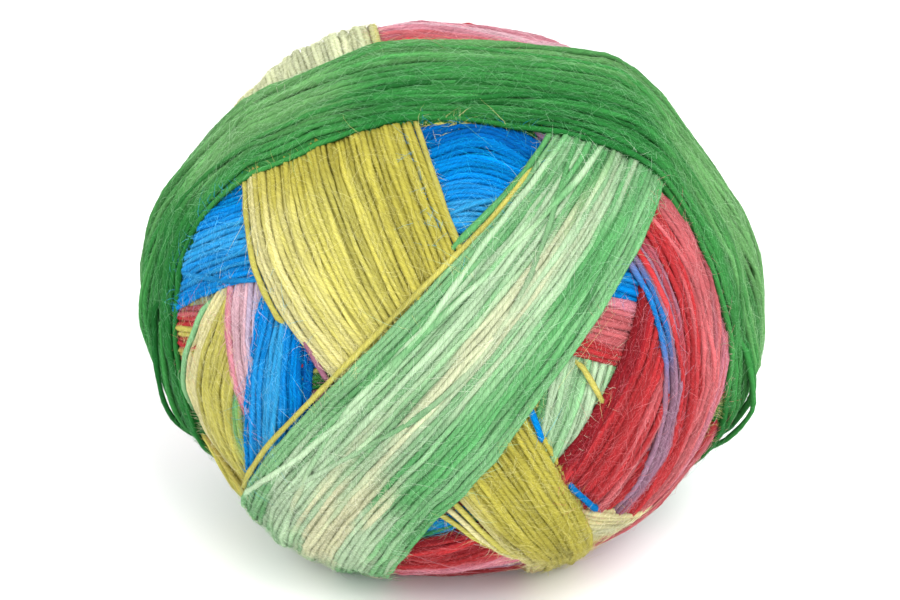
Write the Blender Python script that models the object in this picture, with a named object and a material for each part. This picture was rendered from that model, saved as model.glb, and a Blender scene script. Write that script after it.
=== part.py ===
"""Self-striping yarn: one machine-wound ball of soft wool yarn, resting on a small flat spot.

The ball is a slightly long core with broad bands of turns wound over it, one over the other.
Every band is a closed loop round the ball. It is pulled tight over whatever lies below it, so it
bridges the hollows between older bands, and it is wound as a few thick runs side by side.
All lengths are in metres and all angles in degrees. +Z is up and the ball's best side faces -Y.
"""

import math
from collections import namedtuple

import bmesh
import bpy
import mathutils
import numpy as np

# The core that the bands are wound on: half its length, depth and height, how far its long
# way leans down to the right, and its middle, counted from the ball's centre.
CORE_RADII = (0.0535, 0.0505, 0.0480)
CORE_LEAN = 12
CORE_MIDDLE = (0.0005, 0.0, -0.0004)
CORE_RINGS = 28
CORE_SEGMENTS = 48

# The ball's centre: its place in plan, and its height over the surface that it rests on.
BALL_CENTRE = (-0.0004, 0.0008, 0.0486)
# The block that cuts the flat spot, a cube with its top on the resting surface.
CUTTER_SIDE = 0.08

# The ball's mean outer radius, which turns lengths along its surface into angles.
SURFACE_RADIUS = 0.054

# Every band is worked out at this many places round the ball.
STEPS_AROUND = 68
# How deep the inner side of a band sits in the ball, as a share of the core's radius.
BURIED_SHARE = 0.72
# The share of a band's pile that is left at its rounded edges.
EDGE_SHARE = 0.35
# The depth of the groove between two runs of a band.
GROOVE_DEPTH = 0.0005
# Support lines count for a place of a turn when they face it by more than this cosine.
LEAST_FACING = 0.2

# One row for each band, the first wound first.
# azimuth and tilt: where the axis of the loop points, from the front and from the horizontal.
# offset: how far along its axis the loop lies from the ball's centre, along the surface.
# sway and sway_at: how far the loop swings from side to side, twice a round, and where.
# width: the band's mean width. fan and fan_at: the share by which it widens, and where.
# pile: the thickness of the band at its middle. runs: the thick runs that it is wound in.
Band = namedtuple(
    "Band", "name azimuth tilt offset sway sway_at width fan fan_at pile runs"
)
BANDS = (
    Band("side_stripes", 204, 64, 0.0022, 0.0009, 26, 0.0162, 0.16, 2, 0.0008, 3),
    Band("bottom_red", 314, 41, 0.0022, 0.0, 0, 0.0206, 0.50, 43, 0.0009, 4),
    Band("mint_patch", 295, 24, 0.0029, 0.0003, -74, 0.0176, 0.31, 153, 0.0008, 3),
    Band("red_patch", 155, 54, -0.0007, 0.0003, 25, 0.0138, 0.14, -107, 0.0008, 3),
    Band("left_yellow", 213, 6, -0.0057, 0.0030, -29, 0.0166, 0.50, -98, 0.0009, 3),
    Band("pink_left", 49, 15, -0.0002, 0.0, 0, 0.0122, 0.45, -144, 0.0008, 2),
    Band("blue_left", 247, 4, 0.0149, 0.0024, -89, 0.0164, 0.50, -104, 0.0010, 3),
    Band("blue_arc", 356, -42, -0.0033, 0.0, 0, 0.0273, 0.11, -16, 0.0011, 5),
    Band("deep_red", 130, -33, -0.0031, 0.0013, -14, 0.0184, 0.50, 73, 0.0012, 4),
    Band("red_lilac", 326, 11, 0.0033, 0.0050, 86, 0.0187, 0.22, 55, 0.0013, 4),
    Band("corner_yellow", 80, 40, 0.0070, 0.0, 0, 0.0130, 0.40, -64, 0.0007, 2),
    Band("top_pink", 359, 16, 0.0005, 0.0, 0, 0.0180, 0.0, 0, 0.0011, 3),
    Band("upper_yellow", 108, 21, -0.0091, 0.0050, 56, 0.0213, 0.50, -90, 0.0018, 5),
    Band("pale_green", 257, 30, -0.0044, 0.0039, -30, 0.0239, 0.39, -33, 0.0021, 5),
    Band("dark_green", 3, -1, 0.0045, 0.0018, 20, 0.0300, 0.0, 0, 0.0021, 5),
)

# Stretches where a band leaves its even course: at is the middle of the stretch and span its
# length to each side. There the band lies aside of its course and is wider by these lengths.
Bend = namedtuple("Bend", "band at span aside wider")
BENDS = (
    Bend("dark_green", -72, 58, 0.0015, -0.0020),
    Bend("dark_green", -42, 26, 0.0035, -0.0060),
    Bend("dark_green", -8, 34, -0.0035, -0.0070),
    Bend("dark_green", 25, 45, -0.0013, -0.0025),
    Bend("dark_green", -148, 36, 0.0023, 0.0045),
    Bend("dark_green", 108, 85, -0.0300, -0.0080),
    Bend("red_lilac", 80, 30, -0.0045, 0.0),
    Bend("upper_yellow", -40, 50, -0.0017, 0.0062),
)

WOOL_COLOUR = (0.35, 0.55, 0.30, 1.0)
WOOL_ROUGHNESS = 0.95


def clear_scene():
    """Remove every object that the file holds."""
    for old in list(bpy.data.objects):
        bpy.data.objects.remove(old, do_unlink=True)


def wool_material():
    """A plain matt wool green, the ball's main colour."""
    material = bpy.data.materials.new("wool_yarn")
    material.use_nodes = True
    shader = material.node_tree.nodes["Principled BSDF"]
    shader.inputs["Base Color"].default_value = WOOL_COLOUR
    shader.inputs["Roughness"].default_value = WOOL_ROUGHNESS
    shader.inputs["Metallic"].default_value = 0.0
    return material


def in_half_axes(places):
    """Places in the core's own leaning directions, counted in its half axes."""
    lean = math.radians(CORE_LEAN)
    along = places[..., 0] * math.cos(lean) - places[..., 2] * math.sin(lean)
    upward = places[..., 0] * math.sin(lean) + places[..., 2] * math.cos(lean)
    return np.stack([along, places[..., 1], upward], axis=-1) / np.array(CORE_RADII)


def core_radius(directions):
    """Radius of the core, a leaning ellipsoid, in each unit direction from the ball's centre.

    It is the larger root of the square equation that puts the place on the ellipsoid.
    """
    own = in_half_axes(directions)
    middle = in_half_axes(np.array(CORE_MIDDLE))
    square = (own**2).sum(axis=-1)
    product = own @ middle
    return (product + np.sqrt(product**2 + square * (1 - middle @ middle))) / square


def loop_axes(band):
    """The band's axis, and the two directions that angles round it are counted from."""
    azimuth, tilt = math.radians(band.azimuth), math.radians(band.tilt)
    axis = np.array(
        [
            math.cos(tilt) * math.sin(azimuth),
            -math.cos(tilt) * math.cos(azimuth),
            math.sin(tilt),
        ]
    )
    front = np.array([0.0, -1.0, 0.0])
    start = front - axis * (front @ axis)
    start /= np.linalg.norm(start)
    return axis, start, np.cross(axis, start)


def bend_share(bend, around):
    """How much of a bend is reached at each angle: all at its middle, none past its span."""
    apart = (around - math.radians(bend.at) + math.pi) % (2 * math.pi) - math.pi
    share = np.clip(apart / math.radians(bend.span), -1.0, 1.0)
    return (1 + np.cos(math.pi * share)) / 2


def band_middle(band, around):
    """Latitude of the band's middle line, in radians, at each angle round its axis."""
    middle = band.offset + band.sway * np.cos(2 * (around - math.radians(band.sway_at)))
    for bend in BENDS:
        if bend.band == band.name:
            middle = middle + bend.aside * bend_share(bend, around)
    return middle / SURFACE_RADIUS


def band_half_width(band, around):
    """Half the band's width, in radians of latitude, at each angle round its axis."""
    width = band.width * (1 + band.fan * np.cos(around - math.radians(band.fan_at)))
    for bend in BENDS:
        if bend.band == band.name:
            width = width + bend.wider * bend_share(bend, around)
    return width / 2 / SURFACE_RADIUS


def band_directions(band, around, across):
    """Unit directions from the ball's centre; across runs from -1 to 1 over the band."""
    axis, start, side = loop_axes(band)
    latitude = band_middle(band, around) + across * band_half_width(band, around)
    level = np.cos(around)[..., None] * start + np.sin(around)[..., None] * side
    return (
        np.cos(latitude)[..., None] * level + np.sin(latitude)[..., None] * axis
    )


def sampled(grid, around, across):
    """Value of a band's grid of radii between its points, by two straight blends."""
    count = grid.shape[0]
    row = (around / (2 * math.pi) % 1.0) * count
    column = (across + 1) / 2 * (grid.shape[1] - 1)
    row_low = np.floor(row).astype(int) % count
    column_low = np.clip(np.floor(column).astype(int), 0, grid.shape[1] - 2)
    row_part = row - np.floor(row)
    column_part = column - column_low
    row_high = (row_low + 1) % count
    low = grid[row_low, column_low] * (1 - column_part)
    low = low + grid[row_low, column_low + 1] * column_part
    high = grid[row_high, column_low] * (1 - column_part)
    high = high + grid[row_high, column_low + 1] * column_part
    return low * (1 - row_part) + high * row_part


def surface_radius(wound, directions):
    """Radius of the ball so far, in each direction: the core or the highest band there."""
    radius = core_radius(directions)
    for band, grid in wound:
        axis, start, side = loop_axes(band)
        around = np.arctan2(directions @ side, directions @ start)
        latitude = np.arcsin(np.clip(directions @ axis, -1.0, 1.0))
        across = (latitude - band_middle(band, around)) / band_half_width(band, around)
        inside = np.abs(across) <= 1.0
        height = sampled(grid, around, np.clip(across, -1.0, 1.0))
        radius = np.where(inside, np.maximum(radius, height), radius)
    return radius


def pulled_tight(around, radius):
    """A turn pulled tight: the radius of the convex outline round one loop of radii.

    The support of the loop in a direction is the largest reach of its points that way,
    and the tight turn reaches as far as the nearest support line lets it.
    """
    facing = np.cos(around[:, None] - around[None, :])
    support = (radius[:, None] * facing).max(axis=0)
    reach = support[None, :] / np.maximum(facing, LEAST_FACING)
    return np.where(facing > LEAST_FACING, reach, np.inf).min(axis=1)


def wind_band(wound, band):
    """Radii of the band's outer side, a row for each place round it, over the ball so far."""
    around = np.arange(STEPS_AROUND) * 2 * math.pi / STEPS_AROUND
    points_across = 2 * band.runs + 1
    across = np.linspace(-1.0, 1.0, points_across)
    grid = np.empty((STEPS_AROUND, points_across))
    for column, place in enumerate(across):
        directions = band_directions(band, around, place)
        slope = np.sqrt(1 - (directions @ loop_axes(band)[0]) ** 2)
        below = surface_radius(wound, directions)
        grid[:, column] = pulled_tight(around, below * slope) / slope
    crown = EDGE_SHARE + (1 - EDGE_SHARE) * np.sqrt(1 - across**2)
    groove = GROOVE_DEPTH * (np.arange(points_across) % 2 == 0)
    groove[[0, -1]] = 0.0
    return grid + band.pile * crown - groove


def ring_object(band, grid):
    """The band as a closed ring: its outer side, two edges and a side deep in the ball."""
    around = np.arange(STEPS_AROUND) * 2 * math.pi / STEPS_AROUND
    across = np.linspace(-1.0, 1.0, grid.shape[1])
    mesh = bmesh.new()
    loops = []
    for column, place in enumerate(across):
        directions = band_directions(band, around, place)
        points = directions * grid[:, column, None] + BALL_CENTRE
        loops.append([mesh.verts.new(point) for point in points])
    for place in (1.0, -1.0):
        directions = band_directions(band, around, place)
        points = directions * core_radius(directions)[:, None] * BURIED_SHARE + BALL_CENTRE
        loops.append([mesh.verts.new(point) for point in points])
    for number, loop in enumerate(loops):
        following = loops[(number + 1) % len(loops)]
        for step in range(STEPS_AROUND):
            after = (step + 1) % STEPS_AROUND
            mesh.faces.new(
                (loop[step], loop[after], following[after], following[step])
            )
    bmesh.ops.recalc_face_normals(mesh, faces=mesh.faces)
    return mesh_object(band.name, mesh)


def mesh_object(name, mesh):
    """Put a bmesh into a new object of the scene."""
    data = bpy.data.meshes.new(name)
    mesh.to_mesh(data)
    mesh.free()
    made = bpy.data.objects.new(name, data)
    bpy.context.scene.collection.objects.link(made)
    return made


def core_object():
    """The core as a closed ellipsoid that leans down to the right."""
    mesh = bmesh.new()
    bmesh.ops.create_uvsphere(
        mesh, u_segments=CORE_SEGMENTS, v_segments=CORE_RINGS, radius=1.0
    )
    bmesh.ops.scale(mesh, vec=CORE_RADII, verts=mesh.verts)
    lean = mathutils.Matrix.Rotation(math.radians(CORE_LEAN), 3, "Y")
    bmesh.ops.rotate(mesh, matrix=lean, verts=mesh.verts)
    middle = np.add(BALL_CENTRE, CORE_MIDDLE)
    bmesh.ops.translate(mesh, vec=middle, verts=mesh.verts)
    return mesh_object("wound_yarn", mesh)


def floor_cutter():
    """A block below the resting surface, which cuts the ball's small flat spot."""
    mesh = bmesh.new()
    bmesh.ops.create_cube(mesh, size=CUTTER_SIDE)
    bmesh.ops.translate(mesh, vec=(0.0, 0.0, -CUTTER_SIDE / 2), verts=mesh.verts)
    return mesh_object("resting_surface", mesh)


def as_guide(helper):
    """Keep an object only as a guide, out of the finished model."""
    helper.hide_render = True
    helper.display_type = "WIRE"


def join_bands(ball, rings):
    """Join every band to the core in one step."""
    bands = bpy.data.collections.new("bands")
    bpy.context.scene.collection.children.link(bands)
    for ring in rings:
        bpy.context.scene.collection.objects.unlink(ring)
        bands.objects.link(ring)
        as_guide(ring)
    joined = ball.modifiers.new("bands", "BOOLEAN")
    joined.operation = "UNION"
    joined.solver = "EXACT"
    joined.operand_type = "COLLECTION"
    joined.collection = bands


def cut_flat_spot(ball):
    """Cut away what lies below the resting surface."""
    cutter = floor_cutter()
    as_guide(cutter)
    cut = ball.modifiers.new("flat_spot", "BOOLEAN")
    cut.operation = "DIFFERENCE"
    cut.solver = "EXACT"
    cut.object = cutter


def build():
    """Wind every band over the core, join them and cut the flat spot."""
    clear_scene()
    ball = core_object()
    wound = []
    for band in BANDS:
        wound.append((band, wind_band(wound, band)))
    join_bands(ball, [ring_object(band, grid) for band, grid in wound])
    cut_flat_spot(ball)
    ball.data.materials.append(wool_material())
    ball.data.shade_smooth()


build()
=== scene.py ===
"""Looks of the self-striping yarn ball: each turn of yarn, its fuzz and its dye, and the studio."""

import logging
import math
from dataclasses import dataclass, field
from enum import Enum

import bpy
import numpy as np
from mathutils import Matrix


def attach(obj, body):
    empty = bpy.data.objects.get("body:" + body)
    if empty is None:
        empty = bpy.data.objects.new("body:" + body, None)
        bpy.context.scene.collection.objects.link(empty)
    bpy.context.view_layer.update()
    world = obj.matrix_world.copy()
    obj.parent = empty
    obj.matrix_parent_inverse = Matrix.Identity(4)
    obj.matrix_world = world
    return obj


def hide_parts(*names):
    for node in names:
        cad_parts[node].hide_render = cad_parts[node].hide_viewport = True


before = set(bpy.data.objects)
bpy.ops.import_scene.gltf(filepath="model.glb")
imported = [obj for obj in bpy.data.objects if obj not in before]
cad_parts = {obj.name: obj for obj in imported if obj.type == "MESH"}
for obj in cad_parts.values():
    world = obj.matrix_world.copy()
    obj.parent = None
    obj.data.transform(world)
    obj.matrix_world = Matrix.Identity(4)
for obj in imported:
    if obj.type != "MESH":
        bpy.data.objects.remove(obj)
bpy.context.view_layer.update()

LOG = logging.getLogger("yarn_ball")

# Sizes that the ball shares with its solid, in metres.
CORE_RADII = np.array([0.0535, 0.0505, 0.0480])
CORE_LEAN = math.radians(12)
CORE_MIDDLE = np.array([0.0005, 0.0, -0.0004])
BALL_CENTRE = np.array([-0.0004, 0.0008, 0.0486])
SURFACE_RADIUS = 0.054
EDGE_SHARE = 0.35
GROOVE_DEPTH = 0.0005
LEAST_FACING = 0.2

# The single turns: how many places each is worked out at, its section and its pitch.
STEPS_AROUND = 144
GRID_COLUMNS = 25
TURN_SIDES = 5
TURN_PITCH = 0.00106
TURN_HALF_WIDTH = 0.00058
TURN_HALF_HEIGHT = 0.00056
TABLE_GAP = 0.00005
LOWEST_PLACE = 0.0003
LOWEST_SHARE = 0.9
FEW_TURNS = 4

# How evenly the turns of a band lie: their waves aside and up, in metres, and how far those
# that find no room sink. GOLDEN_SHARE picks which ones sink.
SMALL_WAVES = 0.00006
HEIGHT_WAVES = 0.00009
SINK_DEPTH = 0.0008
SINK_RANGE = 0.35
GOLDEN_SHARE = 0.618
ACROSS_LIMIT = 1.03
DRIFT_LEAST = 0.35
DIVE_FROM = 1.08
DIVE_SLOPE = 0.8

# Riders cross their band on top of it.
RIDER_REACH = 0.7
RIDER_SWING = 0.22
RIDER_LIFT = 0.00035

# Turns that lie alone, and how steeply they tuck in at both ends of their stretch.
LONE_WAVES = 0.00022
LONE_LIFT = 0.0004
LONE_TUCK = 6
SINGLE_LIFT = 0.0002
SINGLE_TUCK = 4
TUCK_DEPTH = 0.003

# Turns one below another at a band's edge, and the bed below the turns, both in painted shade.
EDGE_STACK = 5
STACK_STEP = 0.00095
STACK_PAINTED_SHADE = 0.9
BED_DEPTH = 0.0007
BED_PAINTED_SHADE = 0.95
BED_REACH = 0.97
BED_INSIDE = 0.8

# What can't be seen on the wound ball is left out.
HIDDEN_DEPTH = 0.0015
LOOK_ASIDE = 0.0018
COVER_MARGIN = 0.0009

# Unevenness of the dye and of the thickness, as shares, and the painted light on each turn.
TINT_SCATTER = 0.35
SHADE_WAVES = 0.08
THICKNESS_SCATTER = 0.06
THICKNESS_WAVES = 0.08
THICKNESS_LIMITS = (0.75, 1.25)
# Painted light across each turn's section, from the crest round: a painted highlight on top and
# painted shade below.
CREST_PAINTED_LIGHT = np.array([1.07, 0.93, 0.78, 0.78, 0.93])
DYE_STRENGTH = 0.62
STOP_PULL = 5
FULL_TURN = 2 * math.pi
CENTIMETRES = 100
TURN_SHIFT = 7.3
TURN_SEED = 100
FUZZ_SEED = 500


def angle_from(around: np.ndarray, at: float) -> np.ndarray:
    """Angles counted from a place given in degrees, from minus to plus half a turn."""
    return (around - math.radians(at) + math.pi) % FULL_TURN - math.pi


def stretch_share(around: np.ndarray, at: float, span: float) -> np.ndarray:
    """How far into a stretch a place is: half of one plus the cosine over its span."""
    part = np.clip(angle_from(around, at) / math.radians(span), -1.0, 1.0)
    return (1 + np.cos(math.pi * part)) / 2


class Dye(Enum):
    """Colours that the yarn is dyed in: red, green and blue as the eye sees them, out of 255."""

    LEAF = (62, 144, 70)
    LEAF_DEEP = (38, 118, 52)
    LEAF_LIGHT = (118, 178, 108)
    MEADOW = (98, 172, 104)
    MINT = (144, 200, 142)
    MINT_PALE = (194, 222, 182)
    CREAM = (226, 226, 184)
    YELLOW = (212, 204, 102)
    YELLOW_PALE = (230, 222, 164)
    OLIVE = (190, 180, 76)
    PRIMROSE = (224, 230, 186)
    SKY = (0, 136, 220)
    SKY_LIGHT = (56, 172, 234)
    SKY_DEEP = (0, 92, 172)
    LILAC = (172, 138, 162)
    LILAC_PALE = (198, 180, 204)
    MAUVE = (176, 118, 142)
    ROSE = (220, 134, 150)
    ROSE_PALE = (230, 186, 196)
    RED = (190, 54, 58)
    RED_DEEP = (154, 34, 42)
    CORAL = (208, 106, 110)

    def linear(self) -> np.ndarray:
        """The colour as light, less what the bright studio adds to it."""
        seen = np.array(self.value, float) / 255.0
        light = np.where(seen <= 0.04045, seen / 12.92, ((seen + 0.055) / 1.055) ** 2.4)
        return light * DYE_STRENGTH


@dataclass(frozen=True)
class DyeStop:
    """A place on a band where one dye is strongest.

    across runs from -1 to 1 over the band. around is in degrees from the band's start, and
    span how far the dye reaches to each side of it. Without a span it runs all the way round.
    """

    across: float
    dye: Dye
    around: float = 0.0
    span: float = 0.0


@dataclass(frozen=True)
class LoneTurn:
    """A single turn that parts from its band.

    across is its place over the band, beyond 1 or -1 where it lies outside. at and span give
    the stretch that shows, in degrees, lift how far it stands off the ball there, and slant
    how far it moves across from the middle of the stretch to its end.
    """

    across: float
    dye: Dye
    at: float
    span: float
    lift: float = 0.0
    slant: float = 0.0

    def path(self, around: np.ndarray) -> np.ndarray:
        """Place across: its own plus the slant's share of the way from the middle."""
        apart = angle_from(around, self.at) / math.radians(self.span)
        return self.across + self.slant * np.clip(apart, -1.0, 1.0)

    def share(self, around: np.ndarray) -> np.ndarray:
        """How far into its stretch a place is."""
        return stretch_share(around, self.at, self.span)


@dataclass(frozen=True)
class Bend:
    """A stretch where a loop leaves its even course.

    at is the middle of the stretch and span its length to each side, in degrees. There the
    loop lies aside of its course and its band is wider by these lengths.
    """

    at: float
    span: float
    aside: float
    wider: float = 0.0

    def share(self, around: np.ndarray) -> np.ndarray:
        """How much of the bend is reached."""
        return stretch_share(around, self.at, self.span)


@dataclass(frozen=True)
class Course:
    """A closed loop round the ball: where its axis points, its offset, swing and width."""

    name: str
    azimuth: float
    tilt: float
    offset: float
    sway: float
    sway_at: float
    width: float
    fan: float
    fan_at: float

    def bends(self) -> tuple[Bend, ...]:
        """The stretches where the loop leaves its even course."""
        return BENDS.get(self.name, ())

    def axes(self) -> tuple[np.ndarray, np.ndarray, np.ndarray]:
        """The loop's axis, and the two directions that angles round it are counted from.

        Returns:
            The axis, the start, which faces the front, and the side, a quarter turn on.
        """
        azimuth, tilt = math.radians(self.azimuth), math.radians(self.tilt)
        axis = np.array(
            [
                math.cos(tilt) * math.sin(azimuth),
                -math.cos(tilt) * math.cos(azimuth),
                math.sin(tilt),
            ]
        )
        start = np.array([0.0, -1.0, 0.0])
        start = start - axis * (start @ axis)
        start = start / np.linalg.norm(start)
        return axis, start, np.cross(axis, start)

    def middle(self, around: np.ndarray) -> np.ndarray:
        """Latitude of the middle line: offset, swing twice a round and bends, over the radius."""
        middle = self.offset + self.sway * np.cos(2 * (around - math.radians(self.sway_at)))
        for bend in self.bends():
            middle = middle + bend.aside * bend.share(around)
        return middle / SURFACE_RADIUS

    def half_width(self, around: np.ndarray) -> np.ndarray:
        """Half the width in latitude: the mean with its fan's cosine, and the bends' extra."""
        width = self.width * (1 + self.fan * np.cos(around - math.radians(self.fan_at)))
        for bend in self.bends():
            width = width + bend.wider * bend.share(around)
        return width / 2 / SURFACE_RADIUS

    def directions(self, around: np.ndarray, across: np.ndarray) -> np.ndarray:
        """Unit directions from the ball's centre to places on the band.

        The latitude is the middle line plus across times the half width, and the direction
        is the level direction at the angle round the axis, raised to that latitude.

        Args:
            around: Angles round the axis, in radians.
            across: Places over the band, from -1 to 1, of the same shape.

        Returns:
            Directions, with one more axis of length 3.
        """
        axis, start, side = self.axes()
        latitude = self.middle(around) + across * self.half_width(around)
        level = np.cos(around)[..., None] * start + np.sin(around)[..., None] * side
        return np.cos(latitude)[..., None] * level + np.sin(latitude)[..., None] * axis

    def place_of(self, directions: np.ndarray) -> tuple[np.ndarray, np.ndarray]:
        """Angle round the axis and place across the band for unit directions."""
        axis, start, side = self.axes()
        around = np.arctan2(directions @ side, directions @ start)
        latitude = np.arcsin(np.clip(directions @ axis, -1.0, 1.0))
        return around, (latitude - self.middle(around)) / self.half_width(around)


@dataclass(frozen=True)
class Band(Course):
    """One broad band of turns, as in the solid, with its dyes, or a single strand.

    pile is its thickness and runs how many thick runs it has. spread is how far a dye stop
    reaches over the band, and strays are dyes of which stray_share of the turns have one.
    streaks, unevenness and wander are how much the turns differ in dye, shade and place.
    single is the middle and half length of a single strand's stretch, in degrees.
    """

    pile: float
    runs: int
    stops: tuple[DyeStop, ...]
    spread: float = 0.16
    strays: tuple[Dye, ...] = ()
    stray_share: float = 0.0
    streaks: float = 0.03
    unevenness: float = 0.09
    wander: float = 0.00015
    single: tuple[float, float] | None = None
    lone: tuple[LoneTurn, ...] = ()

    def pile_at(self, across: np.ndarray) -> np.ndarray:
        """Thickness of the band: a rounded crown, less soft grooves between its thick runs."""
        inner = np.clip(across, -1.0, 1.0)
        crown = EDGE_SHARE + (1 - EDGE_SHARE) * np.sqrt(1 - inner**2)
        place = (inner + 1) / 2 * self.runs
        groove = 0.5 + 0.5 * np.cos(FULL_TURN * place)
        inside = (place > 0.5) & (place < self.runs - 0.5)
        return self.pile * crown - GROOVE_DEPTH * groove * inside

    def dye_at(self, across: np.ndarray, around: np.ndarray) -> np.ndarray:
        """Dye at places on the band.

        Each stop pulls with the exponential of minus half its squared distance in spreads,
        and the pulls are shared out. A stop with a span pulls harder at its middle, by the
        exponential of STOP_PULL, and less by the square of the distance round from it.

        Args:
            across: Places over the band.
            around: Angles round the axis, in radians.

        Returns:
            Linear colours, with one more axis of length 3.
        """
        pulls = []
        for stop in self.stops:
            pull = -(((across - stop.across) / self.spread) ** 2) / 2
            if stop.span:
                turn = angle_from(around, stop.around) / math.radians(stop.span)
                pull = pull + STOP_PULL - STOP_PULL * turn**2
            pulls.append(pull + np.zeros_like(around))
        shares = np.stack(pulls)
        shares = np.exp(shares - shares.max(axis=0))
        shares = shares / shares.sum(axis=0)
        dyes = np.stack([stop.dye.linear() for stop in self.stops])
        return np.einsum("s...,sc->...c", shares, dyes)


BENDS = {
    "dark_green": (
        Bend(-72, 58, 0.0028, -0.0046), Bend(-42, 26, 0.0030, -0.0050),
        Bend(-8, 34, -0.0035, -0.0070), Bend(25, 45, -0.0013, -0.0025),
        Bend(-148, 36, 0.0023, 0.0045), Bend(108, 85, -0.0300, -0.0080),
        Bend(56, 24, -0.0050), Bend(18, 24, -0.0011, -0.0022), Bend(-20, 22, -0.0007, -0.0014),
    ),
    "red_lilac": (Bend(80, 30, -0.0045),),
    "left_yellow": (Bend(-20, 25, 0.0015, 0.0015), Bend(-38, 22, 0.0012, 0.0024)),
    "upper_yellow": (Bend(-40, 50, -0.0017, 0.0062),),
}

# Stretches where only the turns of a band lie aside, most of all those at its -1 edge.
DRIFTS = {"blue_arc": (Bend(-2, 17, -0.0060),)}


def strand(
    name: str, azimuth: float, tilt: float, dye: Dye, at: float, span: float, offset: float = 0.0
) -> Band:
    """A strand that lies alone on an even loop.

    Args:
        name: Its name.
        azimuth: Where its loop's axis points, in degrees, like tilt.
        tilt: How far the axis is raised.
        dye: Its dye.
        at: The middle of the stretch that shows, in degrees.
        span: Half the stretch's length, in degrees.
        offset: How far the loop lies from the ball's middle.

    Returns:
        A band of one turn.
    """
    return Band(name, azimuth, tilt, offset, 0.0, 0, 0.0011, 0.0, 0, 0.0009, 1,
                (DyeStop(0.0, dye),), single=(at, span))


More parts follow.
